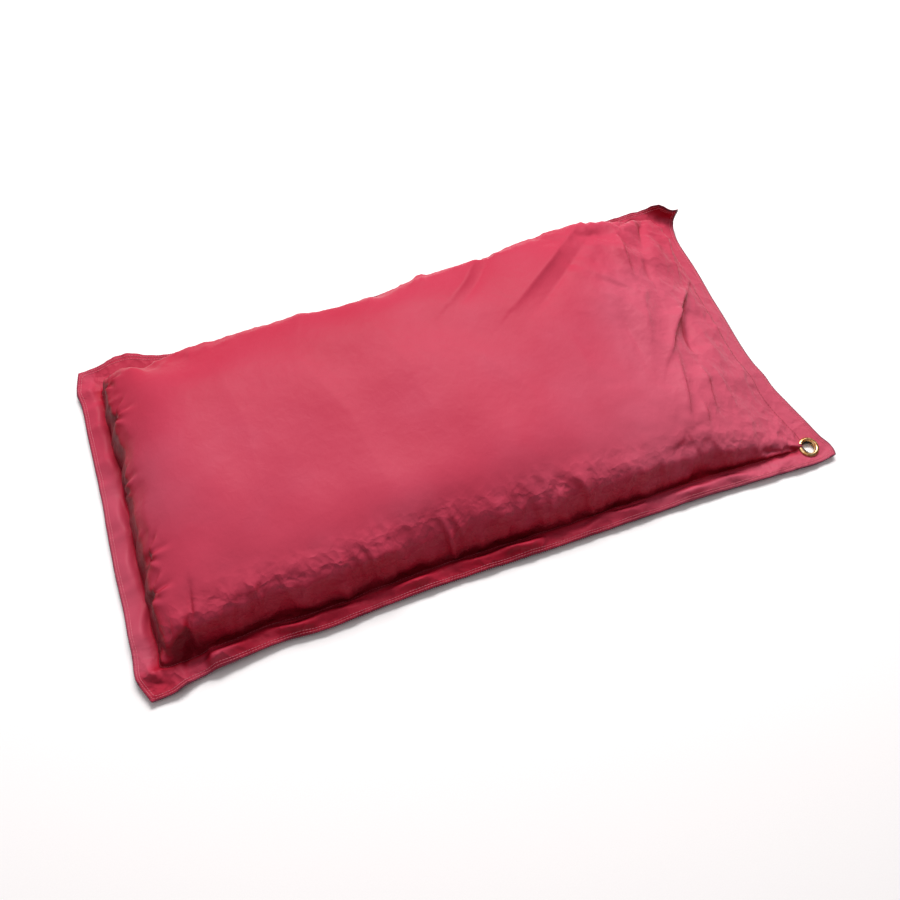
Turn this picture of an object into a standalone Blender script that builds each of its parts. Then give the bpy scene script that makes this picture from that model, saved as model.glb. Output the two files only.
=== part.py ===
"""Camp quilt: one filled chamber between two covers, sewn together with a flange on all four sides.

Metres, +Z up. The quilt lies on z = 0 with its length along X and its width along Y. The origin is the
middle of its footprint. The plump end is at -X, the slack end at +X, and the grommet sits in the corner
at +X, -Y.
"""

import math

import bmesh
import bpy

# Overall sizes, over the edge thread
LENGTH = 0.700
WIDTH = 0.352
CROWN_FULL = 0.070  # top of the cover at the plump end
CROWN_SLACK = 0.040  # top of the cover at the slack end
SLACK_START = 0.02  # X where the fill starts to thin out
SLACK_END = 0.30  # X where it is fully slack

# Sides pull in at mid-length, because the fill shortens the covers across the seam
BOW_NEAR = 0.011
BOW_FAR = 0.010
BOW_SLACK_END = 0.024
BOW_PLUMP_END = 0.0

# Covers and flange
FABRIC = 0.0006
FLANGE = 0.024  # raw edge to chamber seam
FLANGE_Z = 0.003  # underside of the flange above the ground
HEM_CORNER = 0.004  # corner radius of the raw edge
SEAM_CORNER = 0.025  # corner radius of the chamber seam
RISE = 0.085  # run from the seam to the full crown height
RISE_POWER = 2.4  # 2 is a quarter ellipse; more is squarer
BASE_RUN = 0.012  # run from the seam down to the flat base
CORNER_GROWTH = 0.4  # how fast a ring's corner radius grows inside the seam

# Filling
FILL_SPLIT = 0.5  # share of the fill height in the lower batt
FILL_EDGE = 0.003  # seam to the nearest fill

# Grommet set
BORE = 0.014
BARREL_WALL = 0.0006
RIM_WIDTH = 0.004
RIM_HEIGHT = 0.0018
RIM_LAND = 0.0012  # flat ring on top of the rim
WASHER_WIDTH = 0.0026
WASHER_THICK = 0.0007
LIP_WIDTH = 0.0016  # barrel end rolled out under the washer
LIP_THICK = 0.0006
GROMMET_FROM_END = 0.018  # raw edge at +X to the grommet's centre
ROW_CLEAR = 0.0005  # inner hem row to the grommet set
PATCH_THICK = 0.0004
PATCH_EDGE = 0.0010  # patch to the raw edge
PATCH_SEAM_CLEAR = 0.0075  # patch's long side to the chamber seam

# Threads
THREAD = 0.0004
EDGE_THREAD = 0.0016
SEAM_ROW = 0.0012  # chamber seam row outside the fold of the seam
HEM_OUTER_ROW = 0.0010  # raw edge to the outer hem row
HEM_INNER_ROW = 0.0028  # raw edge to the inner hem row

GAP = 0.0003  # between pieces that touch
SEGMENTS = 32  # round a turned piece
CUT = 0.02  # how far a cutter reaches past what it cuts

# Worked out from the above
HALF_X = LENGTH / 2 - EDGE_THREAD - GAP  # raw edge of both covers
HALF_Y = WIDTH / 2 - EDGE_THREAD - GAP
LOWER_TOP_Z = FLANGE_Z + FABRIC  # top of the lower cover in the flange
UPPER_Z = LOWER_TOP_Z + PATCH_THICK + 2 * GAP  # underside of the upper cover in the flange
UPPER_TOP_Z = UPPER_Z + FABRIC
BARREL_R = BORE / 2 + BARREL_WALL
HOLE_R = BARREL_R + GAP
RIM_R = BORE / 2 + RIM_WIDTH
WASHER_R = HOLE_R + WASHER_WIDTH
GROMMET_FROM_SIDE = HEM_INNER_ROW + THREAD / 2 + ROW_CLEAR + max(RIM_R, WASHER_R)
GROMMET_PLAN = (HALF_X - GROMMET_FROM_END, GROMMET_FROM_SIDE - HALF_Y)

# Distances from the raw edge at which the covers have a ring of points
FLANGE_RINGS = (0.0, 0.004, 0.012)
CROWN_RINGS = (0.0, 0.001, 0.004, 0.010, 0.021, 0.040, 0.070)
COVER_RINGS = (*FLANGE_RINGS, *(FLANGE + ring for ring in CROWN_RINGS))
MIDDLE_X = 6  # steps between the innermost rings
MIDDLE_Y = 2


def clear_scene():
    for item in list(bpy.data.objects):
        bpy.data.objects.remove(item, do_unlink=True)


def collection(name, hidden=False):
    made = bpy.data.collections.new(name)
    bpy.context.scene.collection.children.link(made)
    made.hide_render = hidden
    return made


def material(name, colour, roughness, metallic=0.0):
    made = bpy.data.materials.new(name)
    made.use_nodes = True
    shader = made.node_tree.nodes["Principled BSDF"]
    shader.inputs["Base Color"].default_value = (*colour, 1.0)
    shader.inputs["Roughness"].default_value = roughness
    shader.inputs["Metallic"].default_value = metallic
    return made


def add_object(name, data, finish, group):
    item = bpy.data.objects.new(name, data)
    data.materials.append(finish)
    group.objects.link(item)
    return item


def smooth(t):
    t = min(max(t, 0.0), 1.0)
    return t * t * (3 - 2 * t)


def crown(x):
    """Top of the upper cover along the middle of the quilt."""
    slack = smooth((x - SLACK_START) / (SLACK_END - SLACK_START))
    return CROWN_FULL + (CROWN_SLACK - CROWN_FULL) * slack


def upper_height(x, inset):
    """Underside of the upper cover: flat in the flange, then up over the fill."""
    t = min(max((inset - FLANGE) / RISE, 0.0), 1.0)
    rise = (1 - (1 - t) ** RISE_POWER) ** (1 / RISE_POWER)
    return UPPER_Z + (crown(x) - FABRIC - UPPER_Z) * rise


def lower_height(x, inset):
    """Underside of the lower cover: flat in the flange, then down to the ground."""
    return FLANGE_Z * (1 - smooth((inset - FLANGE) / BASE_RUN))


def corner_radius(inset):
    """Corner radius of the ring that lies this far inside the raw edge."""
    if inset < FLANGE:
        return HEM_CORNER + (SEAM_CORNER - HEM_CORNER) * max(inset, 0.0) / FLANGE
    return SEAM_CORNER + CORNER_GROWTH * (inset - FLANGE)


def round_corner(x, y, inset):
    """Moves a point on a square ring on to the same ring with round corners."""
    a = HALF_X - inset
    b = HALF_Y - inset
    radius = min(corner_radius(inset), 0.8 * min(a, b))
    over_x = abs(x) - (a - radius)
    over_y = abs(y) - (b - radius)
    if radius <= 0 or over_x <= 0 or over_y <= 0:
        return x, y
    scale = radius / math.hypot(over_x, over_y)
    return math.copysign(a - radius + over_x * scale, x), math.copysign(b - radius + over_y * scale, y)


def place(x, y):
    """From the flat rectangle of the cut covers to the plan with its sides pulled in."""
    u = x / HALF_X
    v = y / HALF_Y
    end = BOW_SLACK_END if x > 0 else BOW_PLUMP_END
    side = BOW_FAR if y > 0 else BOW_NEAR
    return x - u * end * (1 - v * v), y - v * side * (1 - u * u)


def stations(half, insets, middle):
    """Positions across the cover from one raw edge to the other."""
    edge = [half - inset for inset in insets]
    inner = [edge[-1] * (2 * k / middle - 1) for k in range(1, middle)]
    return sorted([-e for e in edge] + inner + edge)


def sheet(insets, height, top=None, shift=0.0):
    """An open surface over the rings at these insets, each moved inwards by shift.

    Where top is given, each point also keeps the height of the surface above it in the layer "top".
    """
    xs = stations(HALF_X, insets, MIDDLE_X)
    ys = stations(HALF_Y, insets, MIDDLE_Y)
    mesh = bmesh.new()
    above = mesh.verts.layers.float.new("top")
    bmesh.ops.create_grid(mesh, x_segments=len(xs) - 1, y_segments=len(ys) - 1, size=0.5)
    for vert in mesh.verts:
        x = xs[round((vert.co.x + 0.5) * (len(xs) - 1))]
        y = ys[round((vert.co.y + 0.5) * (len(ys) - 1))]
        inset = min(HALF_X - abs(x), HALF_Y - abs(y))
        x, y = round_corner(x, y, inset)
        z = height(x, inset)
        if top:
            vert[above] = top(x, inset)
        vert.co = (*place(x * (1 - shift / HALF_X), y * (1 - shift / HALF_Y)), z)
    return mesh


def mesh_from(name, bm, smooth_faces=True):
    bmesh.ops.recalc_face_normals(bm, faces=bm.faces)
    data = bpy.data.meshes.new(name)
    bm.to_mesh(data)
    bm.free()
    if smooth_faces:
        data.shade_smooth()
    return data


def cutter(name, centre, radius, group):
    bm = bmesh.new()
    bmesh.ops.create_cone(
        bm, cap_ends=True, segments=SEGMENTS, radius1=radius, radius2=radius, depth=2 * CUT
    )
    item = bpy.data.objects.new(name, mesh_from(name, bm, False))
    item.location = (*centre, FLANGE_Z)
    item.hide_render = True
    item.display_type = "WIRE"
    group.objects.link(item)
    return item


def cover(name, height, finish, group, hole):
    """A cover: its underside as an open sheet, thickened upwards, with the grommet hole cut."""
    bm = sheet(COVER_RINGS, height)
    data = bpy.data.meshes.new(name)
    bm.to_mesh(data)
    bm.free()
    if data.polygons[0].normal.z < 0:
        data.flip_normals()
    data.shade_smooth()
    item = add_object(name, data, finish, group)
    wall = item.modifiers.new("Cloth thickness", "SOLIDIFY")
    wall.thickness = FABRIC
    wall.offset = 1.0
    wall.use_even_offset = True
    cut = item.modifiers.new("Grommet hole", "BOOLEAN")
    cut.operation = "DIFFERENCE"
    cut.solver = "EXACT"
    cut.object = hole
    return item


def fill_height(share, x, inset):
    """A height in the chamber, from 0 just above the lower cover to 1 just below the upper one."""
    low = lower_height(x, inset) + FABRIC + GAP
    high = upper_height(x, inset) - GAP
    return low + (high - low) * share


def batt(name, low_share, high_share, finish, group):
    """A layer of batting between two shares of the chamber's height, with upright sides."""
    insets = [FLANGE + ring for ring in CROWN_RINGS if ring >= FILL_EDGE]
    lift = GAP / 2 if low_share > 0 else 0.0
    drop = GAP / 2 if high_share < 1 else 0.0
    bm = sheet(
        insets,
        lambda x, inset: fill_height(low_share, x, inset) + lift,
        lambda x, inset: fill_height(high_share, x, inset) - drop,
        2 * GAP,
    )
    body = bmesh.ops.extrude_face_region(bm, geom=list(bm.faces), use_keep_orig=True)
    top = bm.verts.layers.float["top"]
    for vert in body["geom"]:
        if isinstance(vert, bmesh.types.BMVert):
            vert.co.z = vert[top]
    return add_object(name, mesh_from(name, bm), finish, group)


def ring_points(inset, z):
    """Points round the quilt at this distance inside the raw edge, at the covers' own stations."""
    a = HALF_X - inset
    b = HALF_Y - inset
    xs = [x for x in stations(HALF_X, COVER_RINGS, MIDDLE_X) if abs(x) < a - GAP]
    ys = [y for y in stations(HALF_Y, COVER_RINGS, MIDDLE_Y) if abs(y) < b - GAP]
    flat = [(-a, -b), *((x, -b) for x in xs), (a, -b), *((a, y) for y in ys)]
    flat += [(a, b), *((x, b) for x in reversed(xs)), (-a, b), *((-a, y) for y in reversed(ys))]
    return [(*place(*round_corner(x, y, inset)), z) for x, y in flat]


def thread(name, inset, z, diameter, resolution, finish, group):
    """A closed line of thread round the quilt."""
    points = ring_points(inset, z)
    curve = bpy.data.curves.new(name, "CURVE")
    curve.dimensions = "3D"
    curve.bevel_depth = diameter / 2
    curve.bevel_resolution = resolution
    line = curve.splines.new("POLY")
    line.points.add(len(points) - 1)
    for spot, point in zip(line.points, points):
        spot.co = (*point, 1.0)
    line.use_cyclic_u = True
    return add_object(name, curve, finish, group)


def turned(name, profile, centre, finish, group):
    """A ring turned round a vertical axis from a closed profile of (radius, height) points."""
    bm = bmesh.new()
    verts = [bm.verts.new((radius, 0.0, z)) for radius, z in profile]
    for first, second in zip(verts, verts[1:] + verts[:1]):
        bm.edges.new((first, second))
    data = bpy.data.meshes.new(name)
    bm.to_mesh(data)
    bm.free()
    item = add_object(name, data, finish, group)
    item.location = (*centre, 0.0)
    spin = item.modifiers.new("Turned", "SCREW")
    spin.steps = SEGMENTS
    spin.render_steps = SEGMENTS
    spin.use_merge_vertices = True
    spin.merge_threshold = 0.00001
    return item


def quarter(centre_r, centre_z, size_r, size_z, start, steps=3):
    """A quarter ellipse of profile points, clockwise from the start angle in degrees."""
    points = []
    for k in range(steps + 1):
        angle = math.radians(start - 90 * k / steps)
        points.append((centre_r + size_r * math.cos(angle), centre_z + size_z * math.sin(angle)))
    return points


def grommet_eyelet(centre, finish, group):
    """Rim, barrel and rolled lip in one piece of brass, which clamps the covers and the washer."""
    seat = UPPER_TOP_Z + GAP
    inner_curve = (RIM_WIDTH - RIM_LAND) / 2
    outer_curve = RIM_WIDTH - RIM_LAND - inner_curve
    washer_low = FLANGE_Z - GAP - WASHER_THICK
    lip_top = washer_low - GAP
    lip_low = lip_top - LIP_THICK
    bore_r = BORE / 2
    profile = quarter(RIM_R - outer_curve, seat, outer_curve, RIM_HEIGHT, 90)
    profile += [(BARREL_R, seat), (BARREL_R, lip_top), (BARREL_R + LIP_WIDTH, lip_top)]
    profile += [(BARREL_R + LIP_WIDTH, lip_low), (bore_r, lip_low)]
    profile += quarter(bore_r + inner_curve, seat, inner_curve, RIM_HEIGHT, 180)
    return turned("grommet_eyelet", profile, centre, finish, group)


def grommet_washer(centre, finish, group):
    """Flat brass ring under the lower cover, round the barrel."""
    top = FLANGE_Z - GAP
    low = top - WASHER_THICK
    profile = [(WASHER_R, top), (WASHER_R, low), (HOLE_R, low), (HOLE_R, top)]
    return turned("grommet_washer", profile, centre, finish, group)


def corner_patch(finish, group, hole):
    """Triangle of webbing between the covers at the grommet, held by the hem rows and the grommet."""
    seam_corner = FLANGE + SEAM_CORNER * (1 - math.sqrt(0.5))
    leg = 2 * seam_corner - PATCH_SEAM_CLEAR * math.sqrt(2)
    corner_x = HALF_X - PATCH_EDGE
    corner_y = PATCH_EDGE - HALF_Y
    reach = leg - 2 * PATCH_EDGE
    flat = [(corner_x, corner_y), (corner_x, corner_y + reach), (corner_x - reach, corner_y)]
    bm = bmesh.new()
    face = bm.faces.new([bm.verts.new((*place(x, y), LOWER_TOP_Z + GAP)) for x, y in flat])
    body = bmesh.ops.extrude_face_region(bm, geom=[face], use_keep_orig=True)
    lifted = [piece for piece in body["geom"] if isinstance(piece, bmesh.types.BMVert)]
    bmesh.ops.translate(bm, verts=lifted, vec=(0.0, 0.0, PATCH_THICK))
    item = add_object("corner_patch", mesh_from("corner_patch", bm, False), finish, group)
    cut = item.modifiers.new("Grommet hole", "BOOLEAN")
    cut.operation = "DIFFERENCE"
    cut.solver = "EXACT"
    cut.object = hole
    return item


def threads(thread_finish, edge_finish, group):
    """Needle thread above and bobbin thread below for each row, and the overlock at the raw edge."""
    above = UPPER_TOP_Z + GAP + THREAD / 2
    below = FLANGE_Z - GAP - THREAD / 2
    rows = (
        ("chamber_seam", FLANGE - SEAM_ROW),
        ("hem_outer", HEM_OUTER_ROW),
        ("hem_inner", HEM_INNER_ROW),
    )
    for name, inset in rows:
        thread(f"{name}_needle_thread", inset, above, THREAD, 0, thread_finish, group)
        thread(f"{name}_bobbin_thread", inset, below, THREAD, 0, thread_finish, group)
    middle = (FLANGE_Z + UPPER_TOP_Z) / 2
    outside = -(GAP + EDGE_THREAD / 2)
    thread("edge_overlock_thread", outside, middle, EDGE_THREAD, 1, edge_finish, group)


def camp_quilt():
    clear_scene()
    parts = collection("camp_quilt")
    cutters = collection("cutters", hidden=True)
    shell = material("coated nylon, crimson", (0.56, 0.06, 0.10), 0.38)
    lining = material("coated nylon, deep red", (0.42, 0.04, 0.07), 0.45)
    batting = material("polyester batting, white", (0.85, 0.84, 0.80), 0.95)
    webbing = material("polyester webbing, dark red", (0.30, 0.03, 0.05), 0.8)
    sewing = material("polyester thread, crimson", (0.50, 0.05, 0.09), 0.6)
    overlock = material("polyester thread, plum", (0.08, 0.03, 0.10), 0.6)
    brass = material("brass, lacquered", (0.80, 0.50, 0.22), 0.25, 1.0)

    centre = place(*GROMMET_PLAN)
    hole = cutter("grommet_hole", centre, HOLE_R, cutters)
    cover("top_cover", upper_height, shell, parts, hole)
    cover("bottom_cover", lower_height, lining, parts, hole)
    batt("fill_lower_batt", 0.0, FILL_SPLIT, batting, parts)
    batt("fill_upper_batt", FILL_SPLIT, 1.0, batting, parts)
    corner_patch(webbing, parts, hole)
    grommet_eyelet(centre, brass, parts)
    grommet_washer(centre, brass, parts)
    threads(sewing, overlock, parts)


camp_quilt()
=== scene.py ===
import math
import bmesh
import bpy
import numpy as np
from mathutils import Matrix, Vector


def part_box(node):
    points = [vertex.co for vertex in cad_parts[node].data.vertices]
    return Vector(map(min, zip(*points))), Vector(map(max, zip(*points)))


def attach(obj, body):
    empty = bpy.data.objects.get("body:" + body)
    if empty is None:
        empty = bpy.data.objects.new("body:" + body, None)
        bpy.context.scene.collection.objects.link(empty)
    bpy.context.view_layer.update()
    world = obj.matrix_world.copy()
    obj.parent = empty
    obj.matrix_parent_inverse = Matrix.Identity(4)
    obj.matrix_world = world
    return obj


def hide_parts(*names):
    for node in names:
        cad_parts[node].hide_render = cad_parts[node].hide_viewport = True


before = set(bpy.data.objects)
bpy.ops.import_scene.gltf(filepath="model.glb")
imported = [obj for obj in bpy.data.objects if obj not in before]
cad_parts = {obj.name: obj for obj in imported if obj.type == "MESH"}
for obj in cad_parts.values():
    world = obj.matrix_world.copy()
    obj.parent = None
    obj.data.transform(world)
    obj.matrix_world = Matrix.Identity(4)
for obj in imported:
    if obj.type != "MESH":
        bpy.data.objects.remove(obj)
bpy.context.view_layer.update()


# ---- Camera -------------------------------------------------------------------------------------
# A short lens held above the near left part of the quilt, looking down and across it towards the
# far right corner, and turned a few degrees about its own axis.

camera_data = bpy.data.cameras.new("viewing_camera")
camera_data.lens = 33.96
camera_data.sensor_width = 36.0
camera_data.clip_start = 0.02
camera_data.clip_end = 30.0
camera = bpy.data.objects.new("viewing_camera", camera_data)
bpy.context.scene.collection.objects.link(camera)
look = Vector((0.1906, 0.4028, -0.8952)).normalized()
aside = look.cross(Vector((0.3055, 0.8423, 0.4441))).normalized()
camera.matrix_world = (
    Matrix.Translation((-0.182, -0.3796, 0.7678))
    @ Matrix((aside, aside.cross(look), -look)).transposed().to_4x4()
)
bpy.context.scene.camera = camera
bpy.context.scene.view_settings.view_transform = "Standard"


# ---- Floor and studio light ---------------------------------------------------------------------
# A pale paper floor, and two large soft lamps beyond the far side and the far right corner, as tall
# windows would give. A weak wide lamp overhead keeps the shaded flanks deep but readable.

def linear(code):
    """The scene-linear colour of an sRGB hex code."""
    parts = [int(code[i:i + 2], 16) / 255 for i in (1, 3, 5)]
    return [c / 12.92 if c <= 0.04045 else ((c + 0.055) / 1.055) ** 2.4 for c in parts] + [1.0]


def add_node(tree, kind, settings=None, **sockets):
    """A node of that kind, with its settings, its plain socket values and its links."""
    made = tree.nodes.new("ShaderNode" + kind)
    for key, value in (settings or {}).items():
        setattr(made, key, value)
    for key, value in sockets.items():
        name = key.replace("_", " ")
        socket = made.inputs[int(key[1:])] if key[1:].isdigit() else made.inputs[name]
        if isinstance(value, bpy.types.NodeSocket):
            tree.links.new(value, socket)
        else:
            socket.default_value = value
    return made


def new_material(name):
    """An empty node material and its tree."""
    made = bpy.data.materials.new(name)
    made.use_nodes = True
    made.node_tree.nodes.clear()
    return made, made.node_tree


def finish_material(tree, shader):
    """Joins the shader to the material's output."""
    add_node(tree, "OutputMaterial", Surface=shader.outputs[0])


def add_piece(name, mesh, material=None):
    """An object at the origin that holds the mesh, linked to the scene."""
    made = bpy.data.objects.new(name, mesh)
    bpy.context.scene.collection.objects.link(made)
    if material is not None:
        mesh.materials.append(material)
    return made


paper, tree = new_material("matt_white_paper")
place = add_node(tree, "TexCoord")
fibre = add_node(tree, "TexNoise", Vector=place.outputs["Object"], Scale=900.0, Detail=3.0)
tone = add_node(tree, "Mix", {"data_type": "RGBA"}, _0=fibre.outputs[0])
tone.inputs[6].default_value = linear("#f8f8f8")
tone.inputs[7].default_value = linear("#ffffff")
grain = add_node(tree, "Bump", Strength=0.05, Distance=0.0002, Height=fibre.outputs[0])
finish_material(tree, add_node(
    tree, "BsdfPrincipled", Base_Color=tone.outputs[2], Roughness=0.9, Normal=grain.outputs[0],
))
flat = bmesh.new()
bmesh.ops.create_grid(flat, x_segments=4, y_segments=4, size=6.0)
floor_mesh = bpy.data.meshes.new("studio_floor")
flat.to_mesh(floor_mesh)
flat.free()
floor = add_piece("studio_floor", floor_mesh, paper)


def add_lamp(name, at, towards, size, power, tint):
    """A square soft lamp at a place, facing another."""
    data = bpy.data.lights.new(name, "AREA")
    data.shape = "RECTANGLE"
    data.size, data.size_y = size
    data.energy = power
    data.color = linear(tint)[:3]
    lamp = bpy.data.objects.new(name, data)
    lamp.location = at
    aim = Vector(towards) - Vector(at)
    lamp.rotation_mode = "QUATERNION"
    lamp.rotation_quaternion = aim.to_track_quat("-Z", "Y")
    bpy.context.scene.collection.objects.link(lamp)


add_lamp("far_window", (0.14, 1.28, 1.85), (0.05, 0.02, 0.0), (0.9, 0.7), 44.0, "#fffcfb")
add_lamp("right_window", (0.92, 1.12, 1.80), (0.10, 0.05, 0.0), (0.8, 0.8), 22.0, "#fffafa")
add_lamp("overhead_fill", (-0.3, -0.2, 2.2), (0.0, 0.0, 0.0), (2.0, 2.0), 13.0, "#fff8fa")
studio = bpy.data.worlds.new("studio_air")
studio.use_nodes = True
studio.node_tree.nodes["Background"].inputs[0].default_value = linear("#fbf6f6")
studio.node_tree.nodes["Background"].inputs[1].default_value = 0.10
bpy.context.scene.world = studio


# ---- Cut and sewn shape of the two covers -------------------------------------------------------
# Both covers are cut alike and sewn together: first the chamber seam, then two rows near the raw
# edge. A place on either cover is named by where it was on the flat cut, in metres from its middle.

HALF_LENGTH, HALF_WIDTH = 0.350, 0.176
FLANGE = 0.024
FABRIC = 0.0005
SEAM_CORNER = 0.022
FLANGE_TOP = 0.0046  # top of the flat flange above the ground
GROMMET_CUT = (0.331, -0.158)  # the grommet's place on the cut, for the flat spot round it
GROMMET = (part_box("grommet_eyelet")[0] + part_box("grommet_eyelet")[1]) / 2


def ease(x):
    """0 to 1, smooth at both ends."""
    x = np.clip(x, 0.0, 1.0)
    return x * x * (3 - 2 * x)


def through(at, points):
    """A smooth curve through (place, value) pairs given in millimetres, in metres."""
    p = np.array(points, float) / 1000
    slope = np.gradient(p[:, 1], p[:, 0])
    at = np.clip(at, p[0, 0], p[-1, 0])
    i = np.clip(np.searchsorted(p[:, 0], at) - 1, 0, len(p) - 2)
    run = p[i + 1, 0] - p[i, 0]
    u = (at - p[i, 0]) / run
    return (
        p[i, 1] * (1 + 2 * u) * (1 - u) ** 2
        + slope[i] * run * u * (1 - u) ** 2
        + p[i + 1, 1] * u * u * (3 - 2 * u)
        + slope[i + 1] * run * u * u * (u - 1)
    )


def ripple(a, b, length, seed, waves=7):
    """Smooth noise from -1 to 1 over two coordinates, with about that wavelength."""
    pick = np.random.default_rng(seed)
    total = np.zeros(np.broadcast(a, b).shape)
    for _ in range(waves):
        turn, phase, scale = pick.uniform(0, 2 * math.pi, 2).tolist() + [pick.uniform(0.7, 1.5)]
        along = a * math.cos(turn) + b * math.sin(turn)
        total += np.sin(2 * math.pi * along * scale / length + phase)
    return total / math.sqrt(waves) / 1.4


def crumple(s, t, length, seed, waves=6):
    """Sharp-crested noise from 0 to 1, as slick cloth shows where it has been crushed."""
    pick = np.random.default_rng(seed)
    bent_s = s + 0.22 * length * ripple(s, t, 1.9 * length, seed + 1)
    bent_t = t + 0.22 * length * ripple(s, t, 1.9 * length, seed + 2)
    total = np.zeros(s.shape)
    for _ in range(waves):
        turn, phase = pick.uniform(0, 2 * math.pi, 2)
        scale = pick.uniform(0.6, 1.5)
        along = bent_s * math.cos(turn) + bent_t * math.sin(turn)
        total += (1 - np.abs(np.sin(math.pi * along * scale / length + phase))) ** 1.6 / scale
    return total / waves


def crease(s, t, line, height, steep, gentle):
    """A fold that follows a line on the cut, steep on its left and gentle on its right."""
    line = np.array(line, float)
    lengths = np.linalg.norm(np.diff(line, axis=0), axis=1)
    done, total = 0.0, lengths.sum()
    nearest = np.full(s.shape, 1e9)
    share, side = np.zeros(s.shape), np.ones(s.shape)
    for (a, b), length in zip(zip(line[:-1], line[1:]), lengths):
        way = (b - a) / length
        along = np.clip((s - a[0]) * way[0] + (t - a[1]) * way[1], 0, length)
        gap_s, gap_t = s - a[0] - along * way[0], t - a[1] - along * way[1]
        gap = np.hypot(gap_s, gap_t)
        closer = gap < nearest
        nearest = np.where(closer, gap, nearest)
        share = np.where(closer, (done + along) / total, share)
        side = np.where(closer, np.sign(way[0] * gap_t - way[1] * gap_s), side)
        done += length
    width = np.where(side > 0, steep, gentle)
    taper = np.sin(math.pi * np.clip(share * 0.86 + 0.07, 0, 1)) ** 0.8
    return height * taper * np.exp(-(nearest / width) ** 1.15)


near_edge = [(-350, -176), (-330, -175.5), (-304, -171), (-264, -167.5), (-213, -165), (-194, -167),
             (-126, -165.5), (-84, -165), (33, -168), (122, -169.5), (185, -170.5), (270, -175.2),
             (329, -177.3), (350, -175.5)]
far_edge = [(-350, 174), (-329, 176), (-304, 180), (-286, 180), (-268, 172), (-200, 166),
            (-60, 166), (90, 168), (200, 173), (290, 173), (350, 166)]
left_edge = [(-176, -349), (-149, -357), (-108, -356), (-66, -355.5), (-36, -355.5), (27, -353),
             (100, -352.5), (130, -352), (148, -354), (160, -353), (176, -348)]
right_edge = [(-176, 348), (-168, 349.5), (-141, 344.5), (-118, 340), (-97, 334.5), (-72, 328.5),
              (-60, 328), (-47, 324.5), (-1, 323.5), (74, 325), (120, 325), (150, 333), (176, 345)]


def side_distance(s, t):
    """How far a place on the cut is inside each raw edge: left, right, near, far."""
    return s + HALF_LENGTH, HALF_LENGTH - s, t + HALF_WIDTH, HALF_WIDTH - t


def seam_distance(s, t):
    """How far a place on the cut is inside the rounded chamber seam, negative in the flange."""
    a = np.abs(s) - (HALF_LENGTH - FLANGE - SEAM_CORNER)
    b = np.abs(t) - (HALF_WIDTH - FLANGE - SEAM_CORNER)
    outside = np.hypot(np.maximum(a, 0), np.maximum(b, 0))
    return SEAM_CORNER - outside - np.minimum(np.maximum(a, b), 0)


def gather(inside, half):
    """How far in from the seam a place lies, seen from above, where the flank takes up cloth."""
    taken, over = 0.013, 0.020
    full = half - taken * (1 - math.exp(-half / over))
    return (inside - taken * (1 - np.exp(-np.clip(inside, 0, half) / over))) * half / full


def across(place, half, outer_low, seam_low, seam_high, outer_high):
    """A place on the cut, laid between the seams and raw edges seen from above."""
    chamber = half - FLANGE
    inside = np.clip(chamber - np.abs(place), 0, chamber)
    share = 0.5 + np.sign(place) * (0.5 - gather(inside, chamber) / chamber / 2)
    out = np.clip((np.abs(place) - chamber) / FLANGE, 0, 1)
    seam = seam_low + share * (seam_high - seam_low)
    return seam + out * np.where(place < 0, outer_low - seam_low, outer_high - seam_high)


def plan(s, t):
    """Where a place on the cut lies, seen from above."""
    left = through(t, left_edge)
    right = through(t, right_edge)
    x = across(s, HALF_LENGTH, left, left + 0.0235 + 0.001 * ripple(t, 0 * t, 0.05, 3),
               right - 0.021, right)
    near = through(s, near_edge)
    far = through(s, far_edge)
    seam_far = 0.149 + 0.006 * ease((s + 0.25) / 0.5) + 0.002 * ease((-0.27 - s) / 0.04)
    y = across(t, HALF_WIDTH, near, near + 0.0190, seam_far, far)
    return x, y


def rise(inside, run, power):
    """Share of the full height at a distance inside the seam: steep at first, then level."""
    u = np.clip(inside / run, 0, 1)
    return (1 - (1 - u) ** power) ** (1 / power)


def crown(s, t):
    """Height of the top cover over the flange plane, before the air has worked on it."""
    left, right, near, far = side_distance(s, t)
    left, right = (gather(d - FLANGE, HALF_LENGTH - FLANGE) for d in (left, right))
    near, far = (gather(d - FLANGE, HALF_WIDTH - FLANGE) for d in (near, far))
    full = 0.056 + 0.008 * ease((t + 0.15) / 0.2)
    near_drop = 0.020 * ease((s - 0.02) / 0.26)
    far_drop = 0.014 * ease((s - 0.17) / 0.13)
    full -= near_drop + (far_drop - near_drop) * ease((t + 0.04) / 0.14)
    full -= 0.0025 * ease((0.22 - s) / 0.3) * ease((t - 0.02) / 0.1)
    run = 0.125 - 0.055 * ease((t - 0.01) / 0.12)
    ramp = np.sin(np.clip(right / run, 0, 1) * math.pi / 2)
    near_run = 0.044 - 0.012 * ease((s - 0.05) / 0.15)
    far_run = 0.027 + 0.012 * ease((0.20 - s) / 0.3)
    shape = rise(left, 0.047, 1.9) * ramp * rise(near, near_run, 2.0) * rise(far, far_run, 2.1)
    corner = np.clip(seam_distance(s, t) / 0.02, 0, 1) ** 0.5
    return full * shape * np.where(seam_distance(s, t) > 0, corner, 0)


def lip(inside, centre, outer, inner):
    """A raised lip: a gentle climb from the raw edge and a steep drop towards the seam."""
    gap = inside - centre
    return np.exp(-(gap / np.where(gap < 0, outer, inner)) ** 2)


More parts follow.
